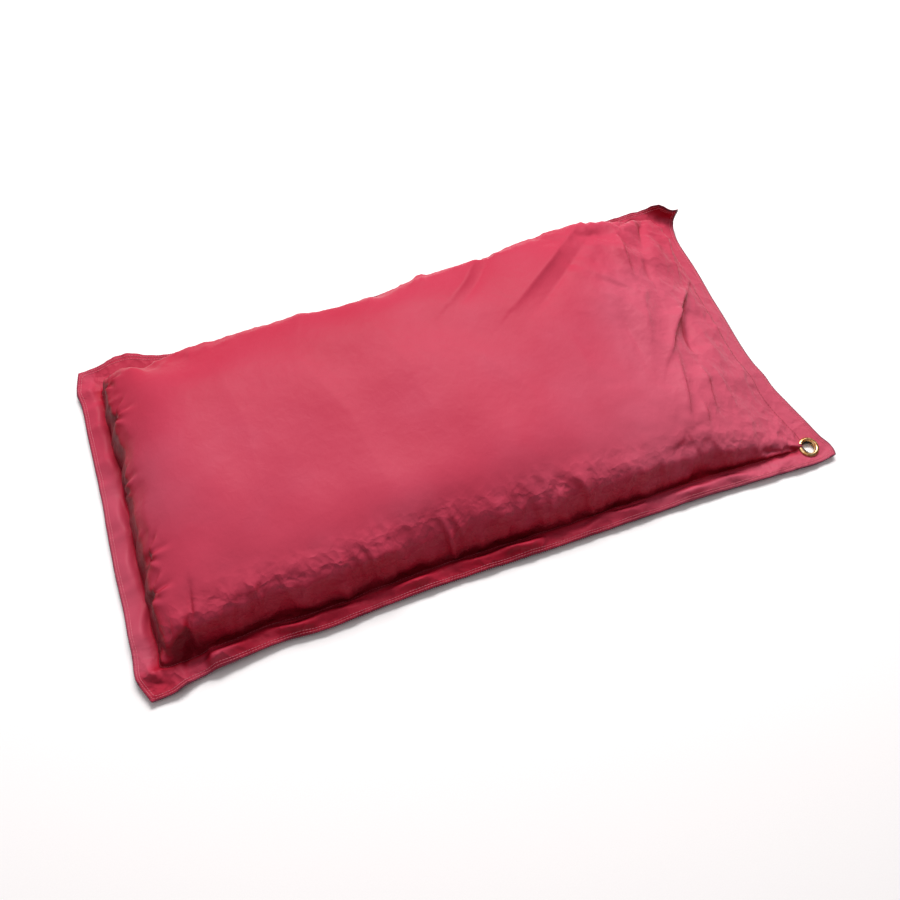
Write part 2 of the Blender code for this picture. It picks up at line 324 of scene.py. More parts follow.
def flange_rise(s, t):
    """Height of the flange over the floor side: lips, waves and the lifted far edge."""
    left, right, near, far = side_distance(s, t)
    out = np.clip(-seam_distance(s, t) / FLANGE, 0, 1)
    uneven = np.clip(0.85 + 0.6 * ripple(t, 0 * t, 0.07, 11), 0.25, 1.4)
    centre = 0.0165 + 0.0022 * ripple(t, 0 * t, 0.045, 15)
    # Lips along the left and near sides
    z = 0.0060 * uneven * lip(left, centre, 0.013, 0.0032) * ease((0.165 - np.abs(t)) / 0.02)
    broken = np.clip(0.55 + 0.9 * ripple(s, 0 * s, 0.075, 12), 0, 1.25)
    ridge = 0.0145 + 0.0032 * ripple(s, 0 * s, 0.060, 13)
    z += 0.0115 * broken * lip(near, ridge, 0.0070, 0.0028) * ease((0.31 - np.abs(s)) / 0.03)
    # The far edge lifts, and the slack end stands a little proud
    lift = 0.001 + 0.007 * ease((s - 0.10) / 0.2) + 0.003 * ease((-0.25 - s) / 0.04)
    z += lift * np.clip((FLANGE - far) / FLANGE, 0, 1) ** 1.2 * ease((0.345 - np.abs(s)) / 0.03)
    z += 0.0105 * np.clip(right / FLANGE, 0, 1) * ease((0.135 - np.abs(t - 0.03)) / 0.06) \
        * ease((0.10 - right) / 0.07)
    z += 0.003 * np.exp(-((s - 0.305) ** 2 + (t - 0.150) ** 2) / 0.042 ** 2)
    # Waves, gathers at the hem, and cloth crushed against the near and left seams
    z += out * 0.0010 * (1 + ripple(s, t, 0.05, 14))
    hem = np.exp(-(np.minimum(near, far) / 0.009) ** 2) * out
    z += 0.0009 * hem * (1 + ripple(s, 0.3 * t, 0.010, 16, 9))
    z += out * 0.0045 * crumple(s, 0.6 * t, 0.014, 66) * ease((0.026 - near) / 0.008) * ease(near / 0.006)
    z += out * 0.0009 * crumple(0.6 * s, t, 0.016, 67) * ease((0.026 - left) / 0.008)
    # Pleats across the left side, then one facet and one fold at the near left corner
    for at in (-0.101, -0.108, -0.060, -0.012, 0.040, 0.062, 0.098, 0.122):
        z += crease(s, t, [(-0.352, at - 0.002), (-0.326, at + 0.003)], 0.0024, 0.0014, 0.006)
    facet = [(-0.270, -0.146), (-0.276, -0.160), (-0.282, -0.176)]
    z += crease(s, t, facet, 0.0100, 0.020, 0.0026) * ease((-0.140 - t) / 0.010)
    fold = [(-0.298, -0.146), (-0.304, -0.162), (-0.311, -0.176)]
    z += crease(s, t, fold, 0.0065, 0.0026, 0.016) * ease((-0.140 - t) / 0.010)
    z += 0.0070 * np.exp(-((s + 0.320) ** 2 + (t + 0.147) ** 2) / 0.013 ** 2)
    return z * ease((np.hypot(s - GROMMET_CUT[0], t - GROMMET_CUT[1]) - 0.012) / 0.016)


def curl_corner(x, y, z):
    """Turns the far right corner up about a slanting line."""
    start, reach = Vector((0.3245, 0.1450)), Vector((0.67, 0.742))
    radius, full_turn = 0.0090, 1.70
    beyond = (x - start.x) * reach.x + (y - start.y) * reach.y
    turn = np.clip(beyond / radius, 0, full_turn)
    straight = np.clip(beyond - full_turn * radius, 0, None)
    flat = radius * np.sin(turn) + straight * math.cos(full_turn)
    up = radius * (1 - np.cos(turn)) + straight * math.sin(full_turn)
    move = np.where(beyond > 0, flat - beyond, 0)
    return x + move * reach.x, y + move * reach.y, z + np.where(beyond > 0, up, 0)


# ---- Top cover: crimson coated taffeta ----------------------------------------------------------
# One ply of nylon taffeta, coated, so it is slick, creases sharply and shines softly. Air and fill
# swell it from the seam, which gathers it into small puckers, and it pulls into folds at corners.

CELLS = (190, 95)


def cut_sheet(name, cells):
    """A grid of cloth whose UV map runs from 0 to 1 over the flat cut."""
    work = bmesh.new()
    work.loops.layers.uv.new("flat_cut")
    bmesh.ops.create_grid(
        work, x_segments=cells[0], y_segments=cells[1], size=0.5, calc_uvs=True,
    )
    mesh = bpy.data.meshes.new(name)
    work.to_mesh(mesh)
    work.free()
    return mesh


def coordinates(mesh):
    """The mesh's vertex positions as rows."""
    co = np.zeros(len(mesh.vertices) * 3, np.float32)
    mesh.vertices.foreach_get("co", co)
    return co.reshape(-1, 3).astype(float)


def place_vertices(mesh, co):
    """Moves the mesh's vertices to those rows."""
    mesh.vertices.foreach_set("co", co.astype(np.float32).ravel())
    mesh.update()


def flat_places(mesh):
    """Each vertex's place on the flat cut, from the UV map."""
    uv = np.zeros(len(mesh.loops) * 2, np.float32)
    mesh.uv_layers["flat_cut"].data.foreach_get("uv", uv)
    corner = np.zeros(len(mesh.loops), np.int32)
    mesh.loops.foreach_get("vertex_index", corner)
    place = np.zeros((len(mesh.vertices), 2))
    place[corner] = uv.reshape(-1, 2)
    return (place[:, 0] - 0.5) * 2 * HALF_LENGTH, (place[:, 1] - 0.5) * 2 * HALF_WIDTH


def apply_modifiers(piece):
    """Makes what the modifiers show the piece's own mesh."""
    seen = piece.evaluated_get(bpy.context.evaluated_depsgraph_get())
    mesh = bpy.data.meshes.new_from_object(seen, preserve_all_data_layers=True,
                                           depsgraph=bpy.context.evaluated_depsgraph_get())
    piece.modifiers.clear()
    piece.vertex_groups.clear()
    piece.data = mesh


def refine(piece):
    """Halves the mesh's cells, with its corners and its UV map kept."""
    finer = piece.modifiers.new("finer", "SUBSURF")
    finer.levels = finer.render_levels = 1
    finer.uv_smooth = "NONE"
    finer.boundary_smooth = "PRESERVE_CORNERS"
    apply_modifiers(piece)


def shade_smooth(mesh):
    """Shades every face smooth."""
    for face in mesh.polygons:
        face.use_smooth = True


def thicken(piece, name, thickness, offset):
    """Gives the sheet a thickness, below it at -1 and both ways at 0."""
    wall = piece.modifiers.new(name, "SOLIDIFY")
    wall.thickness = thickness
    wall.offset = offset


def swell(piece, inside, share, pressure, spare, cap, frames=20):
    """Lets air swell the cloth inside the seam, and keeps a share of it at each place."""
    before = coordinates(piece.data)
    held = piece.vertex_groups.new(name="held")
    blown = piece.vertex_groups.new(name="blown")
    held.add(np.flatnonzero(inside <= 0.001).tolist(), 1.0, "REPLACE")
    blown.add(np.flatnonzero(inside > 0.001).tolist(), 1.0, "REPLACE")
    cloth = piece.modifiers.new("swelling", "CLOTH")
    how = cloth.settings
    how.quality = 4
    how.mass = 0.3
    how.tension_stiffness = how.compression_stiffness = 60
    how.shear_stiffness = 15
    how.bending_stiffness = 0.05
    how.use_pressure = True
    how.uniform_pressure_force = pressure
    how.vertex_group_pressure = "blown"
    how.vertex_group_mass = "held"
    how.shrink_min = -spare
    how.effector_weights.gravity = 0
    how.air_damping = 1
    cloth.point_cache.frame_start = 1
    cloth.point_cache.frame_end = frames
    for moment in range(1, frames + 1):
        bpy.context.scene.frame_set(moment)
    apply_modifiers(piece)
    move = (coordinates(piece.data) - before) * share[:, None]
    far = np.linalg.norm(move, axis=1, keepdims=True)
    place_vertices(piece.data, before + move * np.tanh(far / cap) * cap / np.maximum(far, 1e-9))


top_mesh = cut_sheet("crimson_top_cover", CELLS)
s, t = flat_places(top_mesh)
x, y = plan(s, t)
z = FLANGE_TOP + flange_rise(s, t) + crown(s, t)
x, y, z = curl_corner(x, y, z)
place_vertices(top_mesh, np.column_stack((x, y, z)))
top_cover = add_piece("crimson_top_cover", top_mesh)
left, right, near, far = side_distance(s, t)
share = 1 - 0.6 * ease((0.10 - right) / 0.07) - 0.5 * ease((0.08 - near) / 0.05) \
    - 0.6 * ease((0.09 - left) / 0.05)
swell(top_cover, seam_distance(s, t), np.maximum(share, 0.3), pressure=1.3, spare=0.015, cap=0.014)
# The taut middle of the crown loses the small wrinkles that the air left in it.
taut = top_cover.vertex_groups.new(name="taut")
for weight in (0.25, 0.5, 0.75, 1.0):
    inner = (seam_distance(s, t) > 0.030 + 0.012 * weight) & (s < 0.15 - 0.03 * weight)
    taut.add(np.flatnonzero(inner).tolist(), weight, "REPLACE")
eased = top_cover.modifiers.new("eased", "SMOOTH")
eased.factor = 0.5
eased.iterations = 120
eased.vertex_group = "taut"
apply_modifiers(top_cover)
refine(top_cover)
s, t = flat_places(top_cover.data)
x, y = coordinates(top_cover.data).T[:2]


def normals(mesh):
    """The mesh's vertex normals as rows."""
    found = np.zeros(len(mesh.vertices) * 3, np.float32)
    mesh.vertex_normals.foreach_get("vector", found)
    return found.reshape(-1, 3).astype(float)


def seam_puckers(s, t, side, seed, count, height, reach):
    """Small gathers that start at the chamber seam on one side and run up the flank."""
    pick = np.random.default_rng(seed)
    total = np.zeros(s.shape)
    long_side = side in ("near", "far")
    half = (HALF_LENGTH if long_side else HALF_WIDTH) - FLANGE - 0.012
    base = (HALF_WIDTH if long_side else HALF_LENGTH) - FLANGE
    sign = -1 if side in ("near", "left") else 1
    for _ in range(count):
        at = pick.uniform(-half, half)
        length = reach * pick.uniform(0.35, 1.0) ** 1.5
        lean = pick.normal(0, 0.35) * length
        size = height * pick.uniform(0.35, 1.0)
        width = pick.uniform(0.0018, 0.0045)
        ends = [(at, sign * (base - 0.001)), (at + lean, sign * (base - length))]
        if not long_side:
            ends = [(b, a) for a, b in ends]
        total += crease(s, t, ends, size, width, width * pick.uniform(1.0, 2.2))
    return total


# Folds of the crown, by where they lie: line, height, width of the steep side and of the gentle.
CROWN_FOLDS = [
    ([(300, 165), (268, 150), (235, 127)], -3.6, 4, 8),
    ([(231, 128), (222, 93), (220, 64)], 3.2, 5, 11),
    ([(277, 142), (254, 97)], -2.8, 4, 8),
    ([(248, 87), (241, 40)], -2.2, 6, 13),
    ([(296, 140), (288, 100), (282, 60)], 2.4, 5, 12),
    ([(288, 50), (262, 25), (243, 3), (213, -37)], 3.6, 4, 13),
    ([(272, 20), (250, -36)], -3.4, 11, 16),
    ([(226, -27), (212, -70), (198, -112)], 2.3, 4, 9),
    ([(243, -52), (235, -97)], 2.1, 3.5, 8),
    ([(223, -91), (217, -120)], 2.0, 3, 7),
    ([(260, -60), (262, -105)], 1.8, 4, 9),
    ([(187, 24), (187, -27)], -1.6, 6, 12),
    ([(176, 66), (214, 44)], -1.6, 7, 12),
    ([(198, 143), (140, 98), (84, 60)], 3.0, 5, 15),
    ([(205, 128), (152, 84), (104, 48)], -1.8, 7, 12),
    ([(81, 143), (49, 106), (25, 87)], 2.5, 5, 13),
    ([(92, 140), (62, 104), (40, 84)], -1.6, 6, 10),
    ([(176, 76), (220, 39), (195, -32)], 2.0, 10, 20),
    ([(20, 146), (5, 118)], 1.6, 4, 9),
    ([(-35, 148), (-52, 112)], 1.5, 5, 12),
    ([(-110, 150), (-120, 122)], 1.2, 5, 12),
    ([(-141, 84), (-107, 1), (-94, -98)], 0.9, 12, 22),
    ([(-60, 110), (-38, 30), (-30, -60)], 0.7, 14, 22),
    ([(-215, 110), (-200, 20), (-205, -60)], 0.6, 14, 24),
    ([(20, 40), (60, -30), (70, -90)], 0.7, 12, 22),
    ([(120, 20), (130, -40)], 0.8, 10, 18),
]
# Star-shaped tucks in the left flank, where the seam has caught spare cloth: place along the seam,
# place across it.
LEFT_TUCKS = [(0.077, 0.020), (0.014, 0.008), (-0.060, 0.022), (-0.091, 0.018), (0.118, 0.016)]
# Sharp upright tucks in the near flank: place along the seam.
NEAR_TUCKS = [-0.216, -0.190, -0.126, -0.116, -0.092, -0.047, -0.036, 0.049, 0.060, 0.084, 0.141]


def folds(s, t, x, y):
    """How far the cloth stands proud of the smooth swollen shape, in metres."""
    mm = 0.001
    out = np.zeros(s.shape)
    inner = ease(seam_distance(s, t) / 0.01)
    crown_only = ease((seam_distance(s, t) - 0.004) / 0.012)
    for line, height, steep, gentle in CROWN_FOLDS:
        line = [(a * mm, b * mm) for a, b in line]
        bold = 2.4 if line[-1][0] > 0.15 else 1.6
        out += crease(x, y, line, bold * height * mm, steep * mm, gentle * mm) * crown_only
    # Gathers along all four seams, then tucks in the left and near flanks
    out += seam_puckers(s, t, "near", 21, 150, 1.5 * mm, 0.050)
    out += seam_puckers(s, t, "left", 22, 60, 1.3 * mm, 0.036)
    out += seam_puckers(s, t, "far", 23, 110, 1.4 * mm, 0.040)
    out += seam_puckers(s, t, "right", 24, 50, 1.2 * mm, 0.050)
    for at, deep in LEFT_TUCKS:
        s0 = -HALF_LENGTH + FLANGE + deep
        out -= 4.5 * mm * np.exp(-((s - s0) ** 2 + (t - at) ** 2) / (5 * mm) ** 2)
        for lean, length in ((-0.8, 0.016), (-0.1, 0.022), (0.7, 0.019)):
            end = (s0 + length * math.cos(lean), at + length * math.sin(lean))
            out += crease(s, t, [(s0, at), end], 3.2 * mm, 1.8 * mm, 3.6 * mm)
            dip = (end[0], end[1] + 4 * mm)
            out -= crease(s, t, [(s0, at + 2 * mm), dip], 2.2 * mm, 2.5 * mm, 2.5 * mm)
    for i, at in enumerate(NEAR_TUCKS):
        size = (2.8, 1.6, 2.2)[i % 3] * mm
        t0 = -HALF_WIDTH + FLANGE + 0.004
        line = [(at, t0), (at - 0.003, t0 + 0.013), (at - 0.009, t0 + 0.030)]
        out += crease(s, t, line, size, 1.6 * mm, 5 * mm)
    # Folds that fan out from the near right corner of the seam, and one pinch at the near left
    for end, size in (((0.272, -0.150), 2.6), ((0.284, -0.132), 2.2), ((0.300, -0.114), 1.8),
                      ((0.262, -0.141), -3.2), ((0.293, -0.122), -2.4)):
        out += crease(s, t, [(0.316, -0.149), end], size * mm, 2.4 * mm, 4.5 * mm) * inner
    pinch = [(-0.270, -0.098), (-0.277, -0.122), (-0.284, -0.142), (-0.290, -0.160)]
    out -= crease(s, t, pinch, 6.0 * mm, 3.0 * mm, 6 * mm) * ease(seam_distance(s, t) / 0.005)
    # Waves, and cloth crushed along the near, left and far flanks and over the slack end
    out += inner * 0.6 * mm * ripple(s, t, 0.085, 31)
    left, _, near, far = (d - FLANGE for d in side_distance(s, t))
    patchy = 0.7 + 0.5 * ripple(s, t, 0.050, 61)
    upright = crumple(s, 0.42 * t, 0.0150, 62)
    sideways = crumple(0.5 * s, t, 0.0130, 63)
    out += 4.2 * mm * patchy * upright * np.exp(-((near - 0.024) / 0.020) ** 2) * inner
    out += 3.0 * mm * patchy * sideways * np.exp(-((left - 0.010) / 0.012) ** 2) * inner
    out += 3.0 * mm * patchy * upright * np.exp(-((far - 0.014) / 0.016) ** 2) * inner
    fan = ease((s - 0.13) / 0.14) * inner
    out += 5.0 * mm * patchy * crumple(s, t, 0.038, 64) * fan
    out += 2.4 * mm * patchy * crumple(s, t, 0.015, 68) * fan * ease((t + 0.02) / 0.1)
    out += 0.25 * mm * crumple(s, 0.5 * t, 0.050, 65) * inner
    return out


inside = seam_distance(s, t)
outward = normals(top_cover.data) * [1, 1, 0]
outward /= np.maximum(np.linalg.norm(outward, axis=1, keepdims=True), 0.5)
near, far = side_distance(s, t)[2:]
belly = 0.0012 * np.sin(math.pi * np.clip(inside / 0.030, 0, 1)) ** 1.3 * ease((0.28 - s) / 0.06) \
    * ease((near - 0.03) / 0.04) * ease((far - 0.03) / 0.04)
place_vertices(
    top_cover.data,
    coordinates(top_cover.data) + outward * belly[:, None]
    + normals(top_cover.data) * folds(s, t, x, y)[:, None],
)

crimson, tree = new_material("crimson_coated_taffeta")
cut = add_node(tree, "UVMap", {"uv_map": "flat_cut"})
sized = add_node(tree, "Mapping", Vector=cut.outputs[0], Scale=(700.0, 352.0, 1.0))  # in mm
# Threads really lie about 0.2 mm apart, too fine to show, so they are drawn 0.9 mm apart.
warp = add_node(tree, "TexWave", {"bands_direction": "X"}, Vector=sized.outputs[0], Scale=0.35,
                Distortion=0.4, Detail=1.0)
weft = add_node(tree, "TexWave", {"bands_direction": "Y"}, Vector=sized.outputs[0], Scale=0.35,
                Distortion=0.4, Detail=1.0)
weave = add_node(tree, "Math", {"operation": "MULTIPLY"}, _0=warp.outputs["Fac"], _1=weft.outputs["Fac"])
place = add_node(tree, "TexCoord")
cloudy = add_node(tree, "TexNoise", Vector=place.outputs["Object"], Scale=9.0, Detail=4.0)
crinkle = add_node(tree, "TexNoise", Vector=place.outputs["Object"], Scale=95.0, Detail=5.0,
                   Roughness=0.6, Distortion=0.8)
# Painted light and shade: the red is painted lighter where the cloth faces up to the lamps, and painted
# deeper where shade falls in the seams, on the flanks and towards the far side. A cloudy mottle of the
# cloth's own tone is added to it.
painted_light = add_node(tree, "Attribute", {"attribute_name": "painted_light"})
mottled = add_node(tree, "Math", {"operation": "MULTIPLY_ADD"}, _0=cloudy.outputs[0], _1=0.5,
                   _2=-0.25)
painted_light_and_mottle = add_node(tree, "Math", {"operation": "ADD"}, _0=painted_light.outputs["Fac"], _1=mottled.outputs[0])
# The ramp runs from painted shade (a deep crimson) through the cloth's own crimson to painted light (a
# pale rose).
tone = add_node(tree, "ValToRGB", Fac=painted_light_and_mottle.outputs[0])
tone.color_ramp.elements[0].position = 0.0
tone.color_ramp.elements[0].color = linear("#7d1020")
tone.color_ramp.elements[1].position = 1.0
tone.color_ramp.elements[1].color = linear("#c4546a")
tone.color_ramp.elements.new(0.3).color = linear("#ad1c32")
tone.color_ramp.elements.new(0.8).color = linear("#be4057")
threads = add_node(tree, "Mix", {"data_type": "RGBA", "blend_type": "MULTIPLY"}, _0=0.10)
tree.links.new(tone.outputs[0], threads.inputs[6])
tree.links.new(weave.outputs[0], threads.inputs[7])
shine = add_node(tree, "MapRange", Value=crinkle.outputs[0], To_Min=0.36, To_Max=0.48)
fine = add_node(tree, "Bump", Strength=0.10, Distance=0.0002, Height=weave.outputs[0])
soft = add_node(tree, "Bump", Strength=0.25, Distance=0.0010, Height=crinkle.outputs[0],
                Normal=fine.outputs[0])
# Crushed cloth breaks into facets with sharp crests, about 13 mm across with smaller ones between.
creased = add_node(tree, "Attribute", {"attribute_name": "creased"})
bent = add_node(tree, "TexNoise", Vector=place.outputs["Object"], Scale=55.0, Detail=2.0)
shifted = add_node(tree, "VectorMath", {"operation": "MULTIPLY_ADD"}, _0=bent.outputs["Color"],
                   _1=(0.014, 0.014, 0.014), _2=place.outputs["Object"])
facets = add_node(tree, "TexVoronoi", Vector=shifted.outputs[0], Scale=75.0)
small = add_node(tree, "TexVoronoi", Vector=shifted.outputs[0], Scale=170.0)
both = add_node(tree, "Math", {"operation": "MULTIPLY_ADD"}, _0=small.outputs["Distance"], _1=0.25,
                _2=facets.outputs["Distance"])
crushed = add_node(tree, "Math", {"operation": "MULTIPLY"}, _0=both.outputs[0],
                   _1=creased.outputs["Fac"])
sharp = add_node(tree, "Bump", Strength=0.9, Distance=0.0032, Height=crushed.outputs[0],
                 Normal=soft.outputs[0])
finish_material(tree, add_node(
    tree, "BsdfPrincipled", Base_Color=threads.outputs[2], Roughness=shine.outputs[0],
    Normal=sharp.outputs[0], IOR=1.45, Specular_IOR_Level=0.07,
))


def paint_light_and_creases(piece, s, t):
    """Writes painted light and shade for the red at each place, and how crushed the cloth is there."""
    facing = normals(piece.data)[:, 2]
    upward = ease((facing - 0.25) / 0.6)
    left, right, near, far = side_distance(s, t)
    # Painted shade in the seam valleys and at the foot of the left flank.
    in_seam = np.exp(-((seam_distance(s, t) - 0.001) / 0.0055) ** 2) * ease((right - 0.03) / 0.02)
    at_left = np.exp(-((left - FLANGE - 0.003) / 0.0075) ** 2)
    in_seam = np.maximum(in_seam, at_left * ease((np.minimum(near, far) - 0.026) / 0.010))
    mark = piece.data.attributes.new("painted_light", "FLOAT", "POINT")
    # Painted light on faces that point up, more of it towards the right, and painted shade in the seam
    # valleys.
    value = 0.3 + 0.5 * upward - 0.6 * in_seam + 0.2 * ease((s - 0.05) / 0.2) * upward
    # Painted shade on the steep left flank.
    left_flank = ease((0.085 - left) / 0.03) * ease((left - FLANGE) / 0.003)
    value -= 0.4 * ease((0.92 - facing) / 0.50) * left_flank
    # Painted shade at the near left corner of the flange.
    value -= 0.30 * np.exp(-((s + 0.335) ** 2 + (t + 0.164) ** 2) / 0.020 ** 2)
    # Painted light on the left flange.
    value += 0.15 * ease((0.020 - left) / 0.004) * ease((t + 0.150) / 0.015)
    # Painted shade on upward faces towards the far side.
    value -= 0.20 * ease((0.17 - far) / 0.13) * upward
    # Painted shade on the near flange, stronger towards its left end.
    near_flange = ease((0.027 - near) / 0.004) * ease((left - 0.080) / 0.02)
    value -= 0.35 * near_flange * ease((0.08 - s) / 0.2 + 0.5)
    mark.data.foreach_set("value", np.clip(value, 0, 1).astype(np.float32))
    crushed = 0.85 * ease((0.078 - near) / 0.030) * (1 - 0.55 * ease((s - 0.08) / 0.12)) \
        + 0.5 * ease((0.050 - left) / 0.015) * ease((left - 0.018) / 0.006) \
        + 0.5 * ease((0.050 - far) / 0.015) + 0.35 * ease((s - 0.15) / 0.12) + 0.07
    mark = piece.data.attributes.new("creased", "FLOAT", "POINT")
    mark.data.foreach_set("value", np.clip(crushed, 0, 0.9).astype(np.float32))


paint_light_and_creases(top_cover, s, t)


BORE_CUT = 0.0080  # faces with a corner nearer the grommet's axis than this go


def open_bore(piece):
    """Cuts the hole for the grommet's barrel through a cover, and rounds its edge."""
    work = bmesh.new()
    work.from_mesh(piece.data)
    gap = {v: math.hypot(v.co.x - GROMMET.x, v.co.y - GROMMET.y) for v in work.verts}
    edge = {v for f in work.faces if min(gap[v] for v in f.verts) < BORE_CUT for v in f.verts}
    bmesh.ops.delete(work, context="VERTS", geom=[v for v in edge if gap[v] < BORE_CUT])
    for v in (v for v in edge if v.is_valid and v.is_boundary):
        away = Vector((v.co.x - GROMMET.x, v.co.y - GROMMET.y)).normalized() * (BORE_CUT - 0.0001)
        v.co.x, v.co.y = GROMMET.x + away.x, GROMMET.y + away.y
    work.to_mesh(piece.data)
    work.free()


top_cover.data.materials.clear()
top_cover.data.materials.append(crimson)
shade_smooth(top_cover.data)
thicken(top_cover, "cloth_thickness", FABRIC, -1)
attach(top_cover, "root")
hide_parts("top_cover")


# ---- Where the finished cover lies --------------------------------------------------------------
# The later pieces follow the sewn cover, so its finished places are kept by their place on the cut.

def by_cut(values, s, t, cells):
    """Rows that belong to vertices, sorted into a table by place on the cut."""
    column = np.rint((s / HALF_LENGTH + 1) * cells[0]).astype(int)
    row = np.rint((t / HALF_WIDTH + 1) * cells[1]).astype(int)
    table = np.zeros((2 * cells[1] + 1, 2 * cells[0] + 1, 3))
    table[row, column] = values
    return table


top_places = by_cut(coordinates(top_cover.data), s, t, CELLS)
top_facing = by_cut(normals(top_cover.data), s, t, CELLS)


def at_cut(table, s, t):
    """The table's value at a place on the cut, between its rows and columns."""
    rows, columns = table.shape[:2]
    u = np.clip((np.asarray(s) / HALF_LENGTH + 1) / 2 * (columns - 1), 0, columns - 1.001)
    v = np.clip((np.asarray(t) / HALF_WIDTH + 1) / 2 * (rows - 1), 0, rows - 1.001)
    i, j = u.astype(int), v.astype(int)
    u, v = (u - i)[..., None], (v - j)[..., None]
    return ((table[j, i] * (1 - u) + table[j, i + 1] * u) * (1 - v)
            + (table[j + 1, i] * (1 - u) + table[j + 1, i + 1] * u) * v)


def loop_on_cut(inset, corner, step):
    """Evenly spaced places along a rounded loop that far inside the raw edge of the cut."""
    a, b = HALF_LENGTH - inset, HALF_WIDTH - inset
    quarter = math.pi * corner / 2
    runs = [2 * (b - corner), quarter, 2 * (a - corner), quarter] * 2
    count = int(round(sum(runs) / step))
    places = []
    for k in range(count):
        far = sum(runs) * k / count
        side = 0
        while far > runs[side]:
            far -= runs[side]
            side += 1
        turn = side // 2 * math.pi / 2
        half, reach = (b, a) if side // 2 % 2 == 0 else (a, b)
        if side % 2 == 0:
            spot = (reach, -half + corner + far)
        else:
            angle = far / corner
            spot = (reach - corner + corner * math.cos(angle), half - corner + corner * math.sin(angle))
        places.append((spot[0] * math.cos(turn) - spot[1] * math.sin(turn),
                       spot[0] * math.sin(turn) + spot[1] * math.cos(turn)))
    return np.array(places)


# ---- Bottom cover: crimson coated taffeta -------------------------------------------------------
# The second ply is cut like the first and lies under it in the flange. It is flat where the quilt
# rests on the floor and turns up a little to meet the chamber seam.

PLY_DROP = 0.0013  # top of the first ply to the top of the second
BOTTOM_CELLS = (150, 75)
bottom_mesh = cut_sheet("crimson_bottom_cover", BOTTOM_CELLS)
s, t = flat_places(bottom_mesh)
x, y = plan(s, t)
inside = seam_distance(s, t)
settled = ease((inside - 0.002) / 0.022)
z = (FLANGE_TOP - PLY_DROP + flange_rise(s, t)) * (1 - settled) + 0.0008 * settled
z += settled * 0.0005 * (1 + ripple(s, t, 0.060, 41))
x, y, z = curl_corner(x, y, z)
place_vertices(bottom_mesh, np.column_stack((x, y, z)))
bottom_cover = add_piece("crimson_bottom_cover", bottom_mesh)
refine(bottom_cover)
bottom_cover.data.materials.clear()
bottom_cover.data.materials.append(crimson)
s, t = flat_places(bottom_cover.data)
bottom_places = by_cut(coordinates(bottom_cover.data), s, t, BOTTOM_CELLS)
# The bottom cover gets the same painted light and shade as the top cover.
paint_light_and_creases(bottom_cover, s, t)
open_bore(bottom_cover)
open_bore(top_cover)
shade_smooth(bottom_cover.data)
thicken(bottom_cover, "cloth_thickness", FABRIC, -1)
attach(bottom_cover, "root")
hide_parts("bottom_cover")


# ---- Lofted fill: two layers of polyester batting -----------------------------------------------
# White crimped fibre, needled into a springy sheet. Two layers lie loose in the chamber, flattened
# at the seam, and hold the crown up.

batting, tree = new_material("white_polyester_batting")
place = add_node(tree, "TexCoord")
fibres = add_node(tree, "TexNoise", Vector=place.outputs["Object"], Scale=420.0, Detail=6.0,
                  Roughness=0.7, Distortion=2.0)
clumps = add_node(tree, "TexNoise", Vector=place.outputs["Object"], Scale=40.0, Detail=2.0)
tone = add_node(tree, "ValToRGB", Fac=fibres.outputs[0])
tone.color_ramp.elements[0].position = 0.3
tone.color_ramp.elements[0].color = linear("#d9d7d0")
tone.color_ramp.elements[1].position = 0.7
tone.color_ramp.elements[1].color = linear("#f6f5f1")
puffs = add_node(tree, "Bump", Strength=0.5, Distance=0.003, Height=clumps.outputs[0])
fuzz = add_node(tree, "Bump", Strength=0.6, Distance=0.001, Height=fibres.outputs[0],
                Normal=puffs.outputs[0])
finish_material(tree, add_node(
    tree, "BsdfPrincipled", Base_Color=tone.outputs[0], Roughness=0.95, Normal=fuzz.outputs[0],
    Sheen_Weight=0.4, Sheen_Roughness=0.6,
))


def add_batt(name, node, low_share, high_share, seed):
    """A lofted layer that fills the chamber between two shares of its height."""
    work = bmesh.new()
    bmesh.ops.create_grid(work, x_segments=96, y_segments=46, size=0.5)
    base = list(work.faces)
    grown = bmesh.ops.extrude_face_region(work, geom=base)
    upper = {v for v in grown["geom"] if isinstance(v, bmesh.types.BMVert)}
    work.verts.index_update()
    spots = np.array([v.co[:2] for v in work.verts]) * 2
    inset = FLANGE + 0.005
    s, t = spots[:, 0] * (HALF_LENGTH - inset), spots[:, 1] * (HALF_WIDTH - inset)
    pull = np.clip(1 - seam_distance(s, t) / 0.02, 0, 1) * 0.012
    reach = np.maximum(np.hypot(s, t), 1e-6)
    s, t = s - s / reach * pull, t - t / reach * pull
    roof, ground = at_cut(top_places, s, t), at_cut(bottom_places, s, t)
    roof -= 0.0045 * at_cut(top_facing, s, t)
    ground[:, 2] += 0.0010
    wave = 0.0006 * ripple(s, t, 0.04, seed)
    for i, v in enumerate(work.verts):
        share = high_share if v in upper else low_share
        height = ground[i][2] + (roof[i][2] - ground[i][2]) * share
        v.co = (roof[i][0], roof[i][1], height + (wave[i] if 0.1 < share < 0.9 else 0))
    bmesh.ops.recalc_face_normals(work, faces=work.faces)
    mesh = bpy.data.meshes.new(name)
    work.to_mesh(mesh)
    work.free()
    shade_smooth(mesh)
    batt = add_piece(name, mesh, batting)
    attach(batt, "root")
    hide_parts(node)


add_batt("lower_batt", "fill_lower_batt", 0.0, 0.49, 51)
add_batt("upper_batt", "fill_upper_batt", 0.51, 1.0, 51)


# ---- Corner patch: black polyester webbing ------------------------------------------------------
# A square of flat webbing between the two plies, so that the grommet doesn't tear out. It has a
# hole for the barrel.

